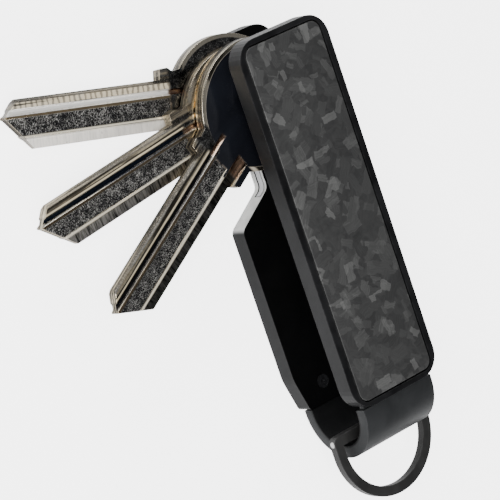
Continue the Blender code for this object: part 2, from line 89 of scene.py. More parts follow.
class Graph:
    """A node tree being filled in, from left to right."""

    def __init__(self, tree):
        self.tree = tree
        self.count = 0

    def node(self, kind, inputs=None, **settings):
        node = self.tree.nodes.new(kind)
        node.location = (-1800 + 190 * (self.count % 12), 300 - 260 * (self.count // 12))
        self.count += 1
        for name, value in settings.items():
            setattr(node, name, value)
        for key, value in (inputs or {}).items():
            self.feed(node.inputs[key], value)
        return node

    def feed(self, socket, value):
        if isinstance(value, bpy.types.NodeSocket):
            self.tree.links.new(value, socket)
        elif isinstance(value, bpy.types.Node):
            self.tree.links.new(value.outputs[0], socket)
        else:
            socket.default_value = value

    def math(self, operation, first, second=0.0, clamp=False):
        inputs = {0: first, 1: second}
        return self.node("ShaderNodeMath", inputs, operation=operation, use_clamp=clamp).outputs[0]

    def product(self, first, *others):
        for other in others:
            first = self.math("MULTIPLY", first, other)
        return first

    def inverse(self, mask):
        return self.math("SUBTRACT", 1.0, mask)

    def vector_math(self, operation, first, second):
        return self.node("ShaderNodeVectorMath", {0: first, 1: second}, operation=operation).outputs[0]

    def split(self, vector):
        """The X, Y and Z of a vector."""
        return self.node("ShaderNodeSeparateXYZ", {"Vector": vector}).outputs

    def grey(self, tone):
        return self.node("ShaderNodeCombineColor", {0: tone, 1: tone, 2: tone}).outputs[0]

    def length(self, x, y):
        """How far a point at x and y is from the origin."""
        flat = self.node("ShaderNodeCombineXYZ", {"X": x, "Y": y}).outputs[0]
        return self.node("ShaderNodeVectorMath", {0: flat}, operation="LENGTH").outputs["Value"]

    def upright(self):
        """How squarely the surface faces up or down, from 0 to 1."""
        normal = self.node("ShaderNodeNewGeometry").outputs["Normal"]
        return self.math("ABSOLUTE", self.split(normal)[2])

    def position(self, scale=(1, 1, 1), turn=(0, 0, 0), shift=(0, 0, 0)):
        place = self.node("ShaderNodeTexCoord").outputs["Object"]
        if scale == (1, 1, 1) and turn == (0, 0, 0) and shift == (0, 0, 0):
            return place
        inputs = {"Vector": place, "Location": shift, "Rotation": turn, "Scale": scale}
        return self.node("ShaderNodeMapping", inputs).outputs[0]

    def noise(self, where, scale, detail=4.0, roughness=0.55, distortion=0.0):
        inputs = {
            "Vector": where,
            "Scale": scale,
            "Detail": detail,
            "Roughness": roughness,
            "Distortion": distortion,
        }
        return self.node("ShaderNodeTexNoise", inputs)

    def stretched(self, where, scale):
        return self.node("ShaderNodeMapping", {"Vector": where, "Scale": scale}).outputs[0]

    def range(self, value, low, high, to_low=0.0, to_high=1.0):
        inputs = {"Value": value, "From Min": low, "From Max": high, "To Min": to_low, "To Max": to_high}
        return self.node("ShaderNodeMapRange", inputs, clamp=True).outputs[0]

    def ramp(self, value, stops):
        node = self.node("ShaderNodeValToRGB", {"Fac": value})
        while len(node.color_ramp.elements) < len(stops):
            node.color_ramp.elements.new(0.5)
        for element, (position, colour) in zip(node.color_ramp.elements, stops):
            element.position = position
            element.color = (*colour, 1.0)
        return node.outputs[0]

    def mix(self, factor, first, second, blend="MIX"):
        node = self.node("ShaderNodeMix", data_type="RGBA", blend_type=blend)
        self.feed(node.inputs[0], factor)
        self.feed(node.inputs[6], first)
        self.feed(node.inputs[7], second)
        return node.outputs[2]

    def bump(self, height, distance, strength=1.0):
        inputs = {"Height": height, "Distance": distance, "Strength": strength}
        return self.node("ShaderNodeBump", inputs).outputs[0]

    def group(self, tree, inputs):
        node = self.node("ShaderNodeGroup", node_tree=tree)
        for name, value in inputs.items():
            self.feed(node.inputs[name], value)
        return node


def opaque(colour):
    return (*colour, 1.0)


def new_group(name, inputs, outputs):
    """A shader node group; inputs are (name, kind, default) and outputs are (name, kind)."""
    tree = bpy.data.node_groups.new(name, "ShaderNodeTree")
    for title, kind, default in inputs:
        socket = tree.interface.new_socket(title, in_out="INPUT", socket_type="NodeSocket" + kind)
        socket.default_value = default
    for title, kind in outputs:
        tree.interface.new_socket(title, in_out="OUTPUT", socket_type="NodeSocket" + kind)
    graph = Graph(tree)
    source = graph.node("NodeGroupInput")
    sink = graph.node("NodeGroupOutput")
    return graph, source, sink


def edge_wear_group():
    """Mask of the edges, broken up by noise: rubbed wear on the plates, bow and ring, and a painted
    highlight along the inlay's bevel.
    """
    inputs = (("Radius", "Float", 0.4 * MM), ("Amount", "Float", 0.5), ("Breakup", "Float", 900.0))
    graph, source, sink = new_group("Edge wear and sheen", inputs, (("Mask", "Float"),))
    plain = graph.node("ShaderNodeNewGeometry").outputs["Normal"]
    bevel = graph.node("ShaderNodeBevel", {"Radius": source.outputs["Radius"]}, samples=6)
    dot = graph.node("ShaderNodeVectorMath", {0: plain, 1: bevel.outputs[0]}, operation="DOT_PRODUCT")
    edge = graph.range(dot.outputs["Value"], 0.985, 0.80)
    noise = graph.noise(graph.position(), 1.0, 3.0)
    graph.feed(noise.inputs["Scale"], source.outputs["Breakup"])
    patchy = graph.range(noise.outputs[0], 0.35, 0.65)
    mask = graph.math("MULTIPLY", edge, patchy)
    graph.feed(sink.inputs["Mask"], graph.math("MULTIPLY", mask, source.outputs["Amount"], True))
    return graph.tree


def smudge_group():
    """Uneven roughness from handling: broad patches and fine mottling."""
    inputs = (("Roughness", "Float", 0.4), ("Variation", "Float", 0.1), ("Size", "Float", 180.0))
    outputs = (("Roughness", "Float"), ("Patches", "Float"))
    graph, source, sink = new_group("Handling smudges", inputs, outputs)
    broad = graph.noise(graph.position(), 1.0, 3.0, 0.6, 0.6)
    graph.feed(broad.inputs["Scale"], source.outputs["Size"])
    fine = graph.noise(graph.position(), 2600.0, 2.0)
    both = graph.math("ADD", broad.outputs[0], graph.math("MULTIPLY", fine.outputs[0], 0.4))
    centred = graph.math("SUBTRACT", both, 0.7)
    change = graph.product(centred, source.outputs["Variation"], 2.0)
    graph.feed(sink.inputs["Roughness"], graph.math("ADD", source.outputs["Roughness"], change, True))
    graph.feed(sink.inputs["Patches"], broad.outputs[0])
    return graph.tree


def bead_blast_group():
    """Height of a fine blasted grain, as under anodising."""
    inputs = (("Grain", "Float", 5200.0), ("Pits", "Float", 0.3))
    graph, source, sink = new_group("Blasted grain", inputs, (("Height", "Float"),))
    grain = graph.noise(graph.position(), 1.0, 2.0)
    graph.feed(grain.inputs["Scale"], source.outputs["Grain"])
    pits = graph.node("ShaderNodeTexVoronoi", {"Vector": graph.position(), "Scale": 2300.0})
    pit = graph.math("MULTIPLY", graph.range(pits.outputs["Distance"], 0.0, 0.35), source.outputs["Pits"])
    graph.feed(sink.inputs["Height"], graph.math("ADD", grain.outputs[0], pit))
    return graph.tree


def brushed_group():
    """Fine straight lines along X, for milled and rolled metal."""
    inputs = (("Fineness", "Float", 9000.0), ("Stretch", "Float", 0.02), ("Turn", "Float", 0.0))
    graph, source, sink = new_group("Brushed lines", inputs, (("Height", "Float"),))
    turn = graph.node("ShaderNodeCombineXYZ", {"Z": source.outputs["Turn"]})
    turned = graph.node("ShaderNodeMapping", {"Vector": graph.position(), "Rotation": turn.outputs[0]})
    stretch = graph.node("ShaderNodeCombineXYZ", {"X": source.outputs["Stretch"], "Y": 1.0, "Z": 1.0})
    squeezed = graph.vector_math("MULTIPLY", turned.outputs[0], stretch.outputs[0])
    lines = graph.noise(squeezed, 1.0, 2.0)
    graph.feed(lines.inputs["Scale"], source.outputs["Fineness"])
    graph.feed(sink.inputs["Height"], lines.outputs[0])
    return graph.tree


def chip_layer_group():
    """One layer of flat rectangular chips, all turned one way: where they are and how light each is."""
    inputs = (
        ("Turn", "Float", 0.0),
        ("Shift", "Float", 0.0),
        ("Scale", "Float", 400.0),
        ("Slimness", "Float", 0.5),
        ("Share", "Float", 0.5),
    )
    graph, source, sink = new_group("Chip layer", inputs, (("Mask", "Float"), ("Shade", "Float")))
    turn = graph.node("ShaderNodeCombineXYZ", {"Z": source.outputs["Turn"]})
    shift = graph.node("ShaderNodeCombineXYZ", {"X": source.outputs["Shift"], "Y": source.outputs["Shift"]})
    places = {"Vector": graph.position((1, 1, 0)), "Rotation": turn, "Location": shift}
    placed = graph.node("ShaderNodeMapping", places).outputs[0]
    wobble = graph.noise(placed, 700.0, 2.0).outputs[1]
    bent = graph.vector_math("ADD", placed, graph.vector_math("MULTIPLY", wobble, (1 * MM, 1 * MM, 0.0)))
    slim = graph.node("ShaderNodeCombineXYZ", {"X": source.outputs["Slimness"], "Y": 1.0, "Z": 1.0})
    squeezed = graph.vector_math("MULTIPLY", bent, slim.outputs[0])
    cells = graph.node("ShaderNodeTexVoronoi", {"Vector": squeezed}, distance="CHEBYCHEV")
    graph.feed(cells.inputs["Scale"], source.outputs["Scale"])
    parts = graph.node("ShaderNodeSeparateColor", {"Color": cells.outputs["Color"]})
    reach = graph.math("ADD", 0.20, graph.math("MULTIPLY", parts.outputs[2], 0.26))
    inside = graph.range(graph.math("SUBTRACT", reach, cells.outputs["Distance"]), 0.0, 0.03)
    chosen = graph.math("LESS_THAN", parts.outputs[0], source.outputs["Share"])
    fibre = graph.noise(graph.vector_math("MULTIPLY", bent, (0.05, 1.0, 1.0)), 5600.0, 3.0, 0.6)
    streak = graph.math("MULTIPLY", graph.math("SUBTRACT", fibre.outputs[0], 0.5), 1.15)
    graph.feed(sink.inputs["Mask"], graph.math("MULTIPLY", inside, chosen))
    graph.feed(sink.inputs["Shade"], graph.math("ADD", parts.outputs[1], streak))
    return graph.tree


class Finishes:
    """The shared effect groups and the materials that use them."""

    def __init__(self, colours):
        self.colours = colours
        self.edge_wear_and_sheen = edge_wear_group()
        self.smudges = smudge_group()
        self.blast = bead_blast_group()
        self.brushed = brushed_group()
        self.chips = chip_layer_group()

    def start(self, name, **constants):
        material = bpy.data.materials.new(name)
        material.use_nodes = True
        tree = material.node_tree
        shader = tree.nodes["Principled BSDF"]
        for key, value in constants.items():
            shader.inputs[key.replace("_", " ")].default_value = value
        return material, Graph(tree), shader

    def anodised(
        self, name, colour, roughness, metallic, gloss, wear=0.35, patch=0.25, painted_highlight=None, painted_shade=None
    ):
        """Dyed and blasted metal, with lighter rubbed edges.

        One optional mask lays a painted highlight, light grey and more metallic; the other lays painted
        shade, near black.
        """
        material, graph, shader = self.start(name, Specular_IOR_Level=gloss)
        smudge = graph.group(self.smudges, {"Roughness": roughness, "Variation": 0.12, "Size": 140.0})
        light = opaque(tuple(min(1.0, c * (1 + patch) + 0.004) for c in colour))
        dark = opaque(tuple(c * (1 - patch) for c in colour))
        base = graph.mix(graph.range(smudge.outputs["Patches"], 0.35, 0.65), dark, light)
        worn = graph.group(self.edge_wear_and_sheen, {"Radius": 0.35 * MM, "Amount": wear, "Breakup": 700.0})
        bare = opaque(tuple(min(1.0, c * 3.2 + 0.05) for c in colour))
        base = graph.mix(worn.outputs[0], base, bare)
        # Painted shade: near black where the shade mask is.
        if painted_shade:
            base = graph.mix(painted_shade(graph), base, opaque((0.0015, 0.0015, 0.0016)))
        # Painted highlight: light grey, and more metallic, where the highlight mask is.
        if painted_highlight:
            mask = painted_highlight(graph)
            base = graph.mix(mask, base, opaque((0.60, 0.60, 0.59)))
            highlight_shine = graph.math("MULTIPLY", mask, 0.8)
            graph.feed(shader.inputs["Metallic"], graph.math("MAXIMUM", highlight_shine, metallic))
        else:
            shader.inputs["Metallic"].default_value = metallic
        graph.feed(shader.inputs["Base Color"], base)
        graph.feed(shader.inputs["Roughness"], smudge.outputs["Roughness"])
        grain = graph.group(self.blast, {"Grain": 5200.0, "Pits": 0.35})
        graph.feed(shader.inputs["Normal"], graph.bump(grain.outputs[0], 0.018 * MM, 0.5))
        return material

    def carbon(self):
        """Forged carbon: flat chips of fibre lying every way, one over another, under a thin satin coat."""
        constants = {"Metallic": 0.1, "Coat_Weight": 0.1, "Coat_Roughness": 0.3, "Coat_IOR": 1.4}
        material, graph, shader = self.start("Forged carbon", **constants)
        ground = graph.noise(graph.position((1, 1, 0)), 420.0, 4.0, 0.65, 1.4)
        shade = graph.range(ground.outputs[0], 0.30, 0.70, 0.02, 0.30)
        for number in range(DARK_CHIP_LAYERS + LIGHT_CHIP_LAYERS):
            shade = self.lay_chips(graph, shade, number, number >= DARK_CHIP_LAYERS)
        dark, light = self.colours.carbon_dark, self.colours.carbon_light
        middle = tuple(0.72 * a + 0.28 * b for a, b in zip(dark, light))
        colour = graph.ramp(shade, ((0.0, tuple(dark)), (0.45, middle), (0.9, tuple(light))))
        # Painted highlight: light grey along the inlay's bevelled edge.
        edge = graph.group(self.edge_wear_and_sheen, {"Radius": 0.22 * MM, "Amount": 0.9, "Breakup": 900.0})
        colour = graph.mix(edge.outputs[0], colour, opaque((0.30, 0.30, 0.30)))
        graph.feed(shader.inputs["Base Color"], colour)
        graph.feed(shader.inputs["Roughness"], graph.range(shade, 0.1, 0.9, 0.55, 0.38))
        grain = graph.noise(graph.position(), 5200.0, 2.0)
        relief = graph.math("ADD", shade, graph.math("MULTIPLY", grain.outputs[0], 0.35))
        graph.feed(shader.inputs["Normal"], graph.bump(relief, 0.03 * MM, 0.5))
        return material

    def lay_chips(self, graph, shade, number, light):
        """One more layer of chips over the shade so far: many dark ones, or a few light ones."""
        share, low, high, strength = (0.17, 0.25, 1.0, 0.62) if light else (0.55, 0.0, 0.62, 0.85)
        layer = {
            "Turn": 0.35 + 2.4 * number,
            "Shift": 0.011 * number,
            "Scale": 360.0 + 55.0 * (number % 5),
            "Slimness": 0.42 + 0.12 * (number % 3),
            "Share": share,
        }
        chips = graph.group(self.chips, layer)
        blend = graph.node("ShaderNodeMix", data_type="FLOAT")
        graph.feed(blend.inputs[0], graph.math("MULTIPLY", chips.outputs["Mask"], strength))
        graph.feed(blend.inputs[2], shade)
        graph.feed(blend.inputs[3], graph.range(chips.outputs["Shade"], 0.0, 1.0, low, high))
        return blend.outputs[0]

    def steel(self, name, colour, roughness, turn=0.0, fineness=9000.0):
        """Plain steel with fine rolled or turned lines."""
        material, graph, shader = self.start(name, Metallic=1.0)
        lines = graph.group(self.brushed, {"Fineness": fineness, "Stretch": 0.03, "Turn": turn})
        tone = graph.grey(graph.range(lines.outputs[0], 0.3, 0.7, 0.82, 1.0))
        graph.feed(shader.inputs["Base Color"], graph.mix(1.0, opaque(colour), tone, "MULTIPLY"))
        smudge = graph.group(self.smudges, {"Roughness": roughness, "Variation": 0.12, "Size": 300.0})
        graph.feed(shader.inputs["Roughness"], smudge.outputs["Roughness"])
        graph.feed(shader.inputs["Normal"], graph.bump(lines.outputs[0], 0.012 * MM, 0.5))
        return material

    def moulded(self, name, colour, roughness):
        """Moulded plastic or film with a faint orange-peel surface."""
        material, graph, shader = self.start(name)
        smudge = graph.group(self.smudges, {"Roughness": roughness, "Variation": 0.1, "Size": 500.0})
        darker = opaque(tuple(c * 0.7 for c in colour))
        graph.feed(shader.inputs["Base Color"], graph.mix(smudge.outputs["Patches"], darker, opaque(colour)))
        graph.feed(shader.inputs["Roughness"], smudge.outputs["Roughness"])
        peel = graph.noise(graph.position(), 1800.0, 2.0)
        graph.feed(shader.inputs["Normal"], graph.bump(peel.outputs[0], 0.02 * MM, 0.5))
        return material


class KeyLayout:
    """Where one key's pattern lies, and how bright its milled areas are: its streak, flank, groove and line
    tones are painted reflection, lighter or darker from key to key.
    """

    # Painted reflection: the dark streaks and the flank, groove and line tones stand in for what each key's
    # metal reflects.
    dark_streak_reflection = 0.10
    head_gold = 0.0
    ridge_gold = 0.8
    flank_reflection_tones = (0.05, 0.35)
    flank_haze = 0.0
    ridge_haze = 0.35
    crest = 0.85
    groove_reflection = (0.02, 0.028, 0.045)
    groove_haze = 0.0
    upper_line_reflection = (0.25, 0.19, 0.12)
    scallop = 0.85
    streak_from = 0.45
    dark_head = False

    def __init__(self, node, turn_degrees, head_along, head_across, **looks):
        low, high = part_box(node)
        self.turn = math.radians(turn_degrees)
        offset = Matrix.Rotation(self.turn, 4, "Z") @ Vector((head_along, head_across, 0))
        self.head = Vector((PIVOT.x + offset.x, PIVOT.y + offset.y))
        self.middle = (low[2] + high[2]) / 2
        for key, value in looks.items():
            setattr(self, key, value)


# Each key's tones below are painted reflection: light on the first key, dark on the third.
KEY_LAYOUTS = {
    "key_1": KeyLayout(
        "key_1",
        166.6,
        2.85 * MM,
        1.80 * MM,
        dark_streak_reflection=0.35,
        flank_reflection_tones=(0.80, 0.98),
        flank_haze=0.75,
        groove_reflection=(0.92, 0.90, 0.86),
        groove_haze=0.6,
        upper_line_reflection=(0.45, 0.35, 0.22),
        scallop=0.30,
        streak_from=0.36,
        ridge_haze=0.55,
        crest=0.0,
    ),
    "key_2": KeyLayout(
        "key_2",
        187.1,
        3.45 * MM,
        3.00 * MM,
        head_gold=1.0,
        ridge_gold=0.9,
        ridge_haze=0.15,
        streak_from=0.50,
        flank_reflection_tones=(0.03, 0.42),
    ),
    "key_3": KeyLayout(
        "key_3",
        210.6,
        2.70 * MM,
        1.95 * MM,
        dark_streak_reflection=0.06,
        ridge_gold=0.9,
        ridge_haze=0.0,
        streak_from=0.50,
        groove_reflection=(0.018, 0.018, 0.020),
        flank_reflection_tones=(0.01, 0.12),
        dark_head=True,
    ),
}


class KeyFinish:
    """Nickel silver: ridges and grooves with a high polish, a speckled web, milled flanks and a granular
    rim.

    The pattern follows the key: u runs along the blade and v across it, from the head's centre.
    """

    # Where each band lies across the blade, in millimetres
    BACK = (-6.2, -5.05)
    RIDGE = (-5.0, -4.0)
    CREST = (-4.34, -4.06)
    GROOVE = (-3.97, -2.92)
    UPPER_LINE = (-2.88, -2.5)
    WEB = (-2.45, 0.4)
    LOWER_LINE = (0.45, 0.8)
    FLANK = (0.85, 2.9)
    BAND_BLUR = 0.06

    # The head's oval: its half sizes, and how far it lies off the pattern's middle
    HEAD_ALONG = 11.8 * MM
    HEAD_ACROSS = 10.6 * MM
    HEAD_DROP = 1.4 * MM

    def __init__(self, made, name, layout):
        self.layout = layout
        self.colours = made.colours
        self.material, self.graph, shader = made.start(name)
        shift = Matrix.Rotation(-layout.turn, 4, "Z") @ Vector((-layout.head.x, -layout.head.y, 0))
        self.local = self.graph.position((1, 1, 1), (0, 0, -layout.turn), tuple(shift))
        self.u, self.v, self.z = self.graph.split(self.local)
        self.find_areas()
        self.make_textures()
        grain = self.speckle()
        base = self.head_and_blade(grain)
        base = self.add_bands(base, grain)
        base = self.add_walls(base)
        rough = self.roughness()
        metal = self.metal_share()
        if layout.dark_head:
            base, rough, metal = self.blacken_head(base, rough, metal)
        self.graph.feed(shader.inputs["Base Color"], self.brighten_lip(base))
        self.graph.feed(shader.inputs["Roughness"], rough)
        self.graph.feed(shader.inputs["Metallic"], metal)
        self.graph.feed(shader.inputs["Normal"], self.relief())

    def across(self, band):
        """Mask of a band of the blade."""
        low, high = band
        after = self.graph.range(self.v, (low - self.BAND_BLUR) * MM, (low + self.BAND_BLUR) * MM)
        before = self.graph.range(self.v, (high + self.BAND_BLUR) * MM, (high - self.BAND_BLUR) * MM)
        return self.graph.product(after, before)

    def find_areas(self):
        """Masks of the blade, of what is milled below its face, of the side walls and of each band."""
        graph = self.graph
        self.blade = graph.range(self.u, 12.2 * MM, 12.8 * MM)
        depth = graph.math("ABSOLUTE", graph.math("SUBTRACT", self.z, self.layout.middle))
        self.sunk = graph.range(depth, 0.95 * MM, 0.85 * MM)
        self.rim = graph.inverse(graph.range(graph.upright(), 0.45, 0.8))
        self.web = graph.product(self.across(self.WEB), self.sunk, self.blade)
        self.flank = graph.product(self.across(self.FLANK), self.sunk)
        self.back = graph.product(self.across(self.BACK), self.blade)
        self.ridge = graph.product(self.across(self.RIDGE), self.blade)
        self.crest = graph.product(self.across(self.CREST), self.blade, self.layout.crest)
        self.groove = graph.product(self.across(self.GROOVE), self.blade)
        self.upper_line = graph.product(self.across(self.UPPER_LINE), self.blade)
        self.lower_line = graph.product(self.across(self.LOWER_LINE), self.blade)
        along = graph.product(self.u, 1 / self.HEAD_ALONG)
        sideways = graph.product(graph.math("ADD", self.v, self.HEAD_DROP), 1 / self.HEAD_ACROSS)
        self.lip = graph.range(graph.length(along, sideways), 0.925, 0.94)

    def make_textures(self):
        """The noises that the areas share: grain, blotches, tarnish, lengthwise streaks and milling cuts."""
        graph = self.graph
        self.speck = graph.noise(graph.stretched(self.local, (1.0, 0.5, 1.0)), 7000.0, 5.0, 0.78).outputs[0]
        self.blotch = graph.noise(self.local, 900.0, 3.0).outputs[0]
        self.tint = graph.noise(self.local, 130.0, 2.0, 0.5, 0.8).outputs[0]
        lengthwise = graph.stretched(self.local, (0.035, 1.0, 1.0))
        self.streaks = graph.noise(lengthwise, 1700.0, 3.0, 0.62).outputs[0]
        self.cuts = graph.noise(graph.stretched(self.local, (1.0, 0.10, 0.10)), 2600.0, 3.0, 0.7).outputs[0]

    def speckle(self):
        """Black grain with bright specks."""
        grit = self.graph.math("ADD", self.speck, self.graph.math("MULTIPLY", self.blotch, 0.22))
        sparkle = self.graph.range(grit, 0.61, 0.82)
        return self.graph.mix(sparkle, opaque((0.010, 0.010, 0.011)), opaque((0.80, 0.78, 0.73)))

    def head_and_blade(self, grain):
        """Tarnish and painted dark reflection streaks along the blade, and the head's grain, golden on some
        keys.
        """
        graph = self.graph
        silver, gold = opaque(self.colours.key_silver), opaque(self.colours.key_gold)
        reflected_dark = opaque(tuple(c * self.layout.dark_streak_reflection for c in self.colours.key_silver))
        clean = graph.mix(graph.range(self.tint, 0.40, 0.60), silver, gold)
        blade = graph.mix(graph.range(self.streaks, 0.42, 0.56), reflected_dark, clean)
        golden = graph.mix(graph.range(self.streaks, 0.40, 0.60), grain, gold)
        head = graph.mix(self.layout.head_gold, grain, golden)
        return graph.mix(self.blade, head, blade)

    def milled_ridge(self):
        """Gold with painted dark reflection streaks and the scallops that the cutter left."""
        graph, layout = self.graph, self.layout
        waves = {"Vector": self.local, "Scale": 300.0, "Distortion": 2.5, "Detail": 2.0, "Detail Scale": 3.0}
        scallops = graph.node("ShaderNodeTexWave", waves, bands_direction="X")
        tick = graph.range(scallops.outputs["Fac"], 0.10, 0.55, layout.scallop, 1.0)
        clear = graph.range(self.streaks, layout.streak_from, layout.streak_from + 0.08, 0.10, 1.0)
        tone = graph.grey(graph.product(tick, clear))
        return graph.mix(1.0, opaque((0.92, 0.79, 0.56)), tone, "MULTIPLY")

    def milled_flank(self):
        """Warm grey with the cutter's lines across it, at a painted reflection tone set for each key."""
        low, high = (opaque(tuple(tone * c for c in (1.0, 0.95, 0.87))) for tone in self.layout.flank_reflection_tones)
        return self.graph.mix(self.graph.range(self.cuts, 0.36, 0.60), low, high)

    def add_bands(self, base, grain):
        """The blade's bands, laid over its metal one after another."""
        graph, layout = self.graph, self.layout
        base = graph.mix(graph.product(self.ridge, layout.ridge_gold), base, self.milled_ridge())
        # Painted reflection: the groove and the lines beside it, light or dark from key to key.
        glint = graph.range(self.speck, 0.60, 0.75)
        pool = graph.mix(glint, opaque(layout.groove_reflection), opaque((0.6, 0.6, 0.6)))
        base = graph.mix(self.groove, base, pool)
        base = graph.mix(self.crest, base, opaque((0.88, 0.74, 0.50)))
        base = graph.mix(self.upper_line, base, opaque(layout.upper_line_reflection))
        base = graph.mix(self.lower_line, base, opaque((0.92, 0.84, 0.66)))
        base = graph.mix(self.web, base, grain)
        return graph.mix(graph.product(self.flank, self.blade), base, self.milled_flank())

    def add_walls(self, base):
        """The blade's granular back, the layered side walls and the coppery ends of the grooves."""
        graph = self.graph
        dark_grain, light_grain = opaque((0.03, 0.028, 0.025)), opaque((0.62, 0.56, 0.45))
        granular = graph.mix(graph.range(self.speck, 0.54, 0.68), dark_grain, light_grain)
        layers = graph.noise(graph.stretched(self.local, (0.02, 0.02, 1.0)), 3000.0, 2.0).outputs[0]
        dark_layer, light_layer = opaque((0.02, 0.017, 0.012)), opaque((0.80, 0.70, 0.52))
        wall = graph.mix(graph.range(layers, 0.49, 0.60), dark_layer, light_layer)
        wall = graph.mix(0.45, wall, granular)
        dark_copper, light_copper = opaque((0.10, 0.06, 0.04)), opaque((0.62, 0.40, 0.27))
        copper = graph.mix(graph.range(self.streaks, 0.4, 0.6), dark_copper, light_copper)
        run_out = graph.product(graph.inverse(self.blade), self.sunk, graph.inverse(self.rim))
        base = graph.mix(graph.product(self.back, 0.9), base, granular)
        base = graph.mix(graph.product(self.rim, 0.85), base, wall)
        return graph.mix(run_out, base, copper)

    def roughness(self):
        rough = self.graph.range(self.blotch, 0.3, 0.7, 0.15, 0.25)
        for mask, extra in ((self.web, 0.30), (self.flank, 0.12), (self.rim, 0.14), (self.back, 0.2)):
            rough = self.graph.math("ADD", rough, self.graph.product(mask, extra))
        return rough

    def metal_share(self):
        """How metallic each place is: less where fine milling scatters the light."""
        haze = self.graph.product(self.flank, self.layout.flank_haze)
        for mask, share in (
            (self.ridge, self.layout.ridge_haze),
            (self.groove, self.layout.groove_haze),
            (self.lower_line, 0.45),
            (self.crest, 0.45),
        ):
            haze = self.graph.math("ADD", haze, self.graph.product(mask, share))
        return self.graph.math("SUBTRACT", 1.0, haze, True)

    def blacken_head(self, base, rough, metal):
        """Glossy blue-black colour inside the head's lip and down the neck, made less metallic."""
        graph = self.graph
        neck_side = graph.range(self.v, -2.6 * MM, -2.4 * MM)
        neck = graph.product(neck_side, graph.range(self.u, 8.5 * MM, 8.9 * MM))
        face = graph.math("MAXIMUM", graph.inverse(self.lip), neck)
        outside_face = graph.math("MAXIMUM", self.rim, self.sunk)
        face = graph.product(face, graph.inverse(outside_face), graph.range(self.u, 14.4 * MM, 14.0 * MM))
        blue_black = graph.mix(self.tint, opaque((0.004, 0.004, 0.005)), opaque((0.012, 0.014, 0.020)))
        glossy = graph.range(self.blotch, 0.3, 0.7, 0.14, 0.22)
        metal = graph.math("SUBTRACT", metal, graph.math("MULTIPLY", face, 0.7), True)
        return graph.mix(face, base, blue_black), graph.mix(face, rough, glossy), metal

    def brighten_lip(self, base):
        """The bright, bare lip round the head's face."""
        graph = self.graph
        bare = graph.product(self.lip, graph.range(self.u, 9.6 * MM, 9.2 * MM), graph.inverse(self.rim))
        return graph.mix(graph.math("MULTIPLY", bare, 0.8), base, opaque((0.78, 0.70, 0.56)))

    def relief(self):
        """Bumps of the grain and of the milling cuts."""
        graph = self.graph
        granular = graph.math("MAXIMUM", self.rim, self.back)
        rugged = graph.math("ADD", graph.product(self.web, 2.4), graph.product(granular, 1.2))
        lines = graph.math("ADD", graph.product(self.flank, 1.2), 0.08)
        height = graph.math("ADD", graph.product(self.speck, rugged), graph.product(self.cuts, lines))
        return graph.bump(height, 0.06 * MM, 0.6)


# Pieces whose edges are broken


def broken_edges(name, node, body, width, segments=2, angle=25.0, smooth=35.0):
    """A copy of a CAD node with its edges broken, which stands in for that node."""
    bpy.ops.object.select_all(action="DESELECT")
    piece = bpy.data.objects.new(name, frame["nodes"][node].data.copy())
    bpy.context.scene.collection.objects.link(piece)
    shape = bmesh.new()
    shape.from_mesh(piece.data)
    bmesh.ops.remove_doubles(shape, verts=shape.verts, dist=0.002 * MM)
    bmesh.ops.dissolve_limit(shape, angle_limit=math.radians(0.5), verts=shape.verts, edges=shape.edges)
    shape.to_mesh(piece.data)
    shape.free()
    piece.select_set(True)
    bpy.context.view_layer.objects.active = piece
    bevel = piece.modifiers.new("Broken edges", "BEVEL")
    bevel.width = width
    bevel.segments = segments
    bevel.limit_method = "ANGLE"
    bevel.angle_limit = math.radians(angle)
    bevel.use_clamp_overlap = True
    bpy.ops.object.modifier_apply(modifier=bevel.name)
    bpy.ops.object.shade_smooth_by_angle(angle=math.radians(smooth))
    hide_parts(node)
    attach(piece, body)
    return piece


def give(item, material):
    item.data.materials.clear()
    item.data.materials.append(material)


@functools.cache
def finishes():
    """The finishes, made when the first operator asks for them."""
    return Finishes(bpy.context.scene.organiser_colours)


# Settings shown in the sidebar


def colour_setting(name, description, default):
    return FloatVectorProperty(name=name, description=description, subtype="COLOR", size=3, default=default)


def edge_setting(name, description, default):
    return FloatProperty(name=name, description=description, default=default, min=0.0, unit="LENGTH")


class OrganiserColours(bpy.types.PropertyGroup):
    plate: colour_setting("Plates", "Dye of the anodised plates", (0.0065, 0.0066, 0.0072))
    bow: colour_setting("Bow", "Colour of the bent strap", (0.020, 0.021, 0.022))
    carbon_dark: colour_setting("Carbon, dark chips", "Darkest chips of the inlay", (0.014, 0.014, 0.014))
    carbon_light: colour_setting("Carbon, light chips", "Lightest chips of the inlay", (0.110, 0.110, 0.107))
    key_silver: colour_setting("Key metal", "Nickel silver where it is clean", (0.66, 0.64, 0.60))
    key_gold: colour_setting("Key tarnish", "Nickel silver where it has yellowed", (0.74, 0.62, 0.44))
    ring: colour_setting("D-ring", "Colour of the ring's plating", (0.020, 0.0197, 0.0193))
    floor: colour_setting("Floor", "Colour of the floor", (0.93, 0.93, 0.93))


class OrganiserSizes(bpy.types.PropertyGroup):
    inlay_edge: edge_setting("Inlay edge", "Bevel on the inlay's edge", 0.12 * MM)
    key_edge: edge_setting("Key edges", "Bevel on the keys' edges", 0.10 * MM)
    bow_edge: edge_setting("Bow edges", "Bevel on the bow's edges", 0.35 * MM)
    small_edge: edge_setting("Small pieces' edges", "Bevel on screws, post and washers", 0.10 * MM)


# Operators


